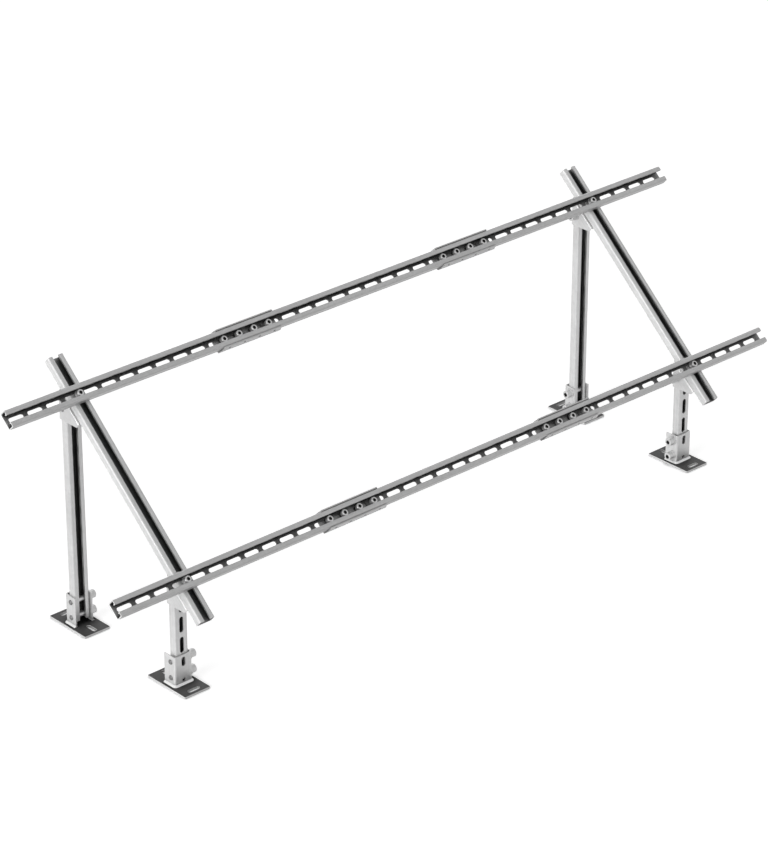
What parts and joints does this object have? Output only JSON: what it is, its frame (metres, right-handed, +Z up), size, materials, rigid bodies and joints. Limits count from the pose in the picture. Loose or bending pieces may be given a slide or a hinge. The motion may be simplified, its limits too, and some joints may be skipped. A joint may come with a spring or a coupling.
{
  "type": "solar ballast mount",
  "caption": "Tilted frame of slotted strut channel that holds solar panels on a flat roof: two end frames on ballast feet, crossed by two spliced rails.",
  "frame": {"origin": "middle of the overall box, on the surface that the feet stand on", "axes": "+X along the rails, +Y from the low front side to the high rear side, +Z up"},
  "size_m": [1.992, 0.5164, 0.645],
  "materials": {
    "channel": "satin",
    "foot_plate": "satin",
    "bracket": "satin",
    "splice": "satin",
    "bolt": "satin",
    "nut": "satin",
    "washer": "satin"
  },
  "bodies": {
    "root": {"connector_cross_bolts": "bolt", "connector_cross_nuts": "nut", "connector_cross_washers": "washer", "connector_top_bolts": "bolt", "connector_top_nuts": "nut", "front_rail_left": "channel", "front_rail_middle": "channel", "front_rail_right": "channel", "front_splice_bolts": "bolt", "front_splice_left": "splice", "front_splice_nuts": "nut", "front_splice_right": "splice", "front_splice_washers": "washer", "left_beam": "channel", "left_front_connector": "bracket", "left_front_foot_bolts": "bolt", "left_front_foot_bracket": "bracket", "left_front_foot_nuts": "nut", "left_front_foot_plate": "foot_plate", "left_front_foot_washers": "washer", "left_front_post": "channel", "left_rear_connector": "bracket", "left_rear_foot_bolts": "bolt", "left_rear_foot_bracket": "bracket", "left_rear_foot_nuts": "nut", "left_rear_foot_plate": "foot_plate", "left_rear_foot_washers": "washer", "left_rear_post": "channel", "rail_bolts": "bolt", "rail_channel_nuts": "nut", "rail_washers": "washer", "rear_rail_left": "channel", "rear_rail_middle": "channel", "rear_rail_right": "channel", "rear_splice_bolts": "bolt", "rear_splice_left": "splice", "rear_splice_nuts": "nut", "rear_splice_right": "splice", "rear_splice_washers": "washer", "right_beam": "channel", "right_front_connector": "bracket", "right_front_foot_bolts": "bolt", "right_front_foot_bracket": "bracket", "right_front_foot_nuts": "nut", "right_front_foot_plate": "foot_plate", "right_front_foot_washers": "washer", "right_front_post": "channel", "right_rear_connector": "bracket", "right_rear_foot_bolts": "bolt", "right_rear_foot_bracket": "bracket", "right_rear_foot_nuts": "nut", "right_rear_foot_plate": "foot_plate", "right_rear_foot_washers": "washer", "right_rear_post": "channel"}
  },
  "joints": []
}
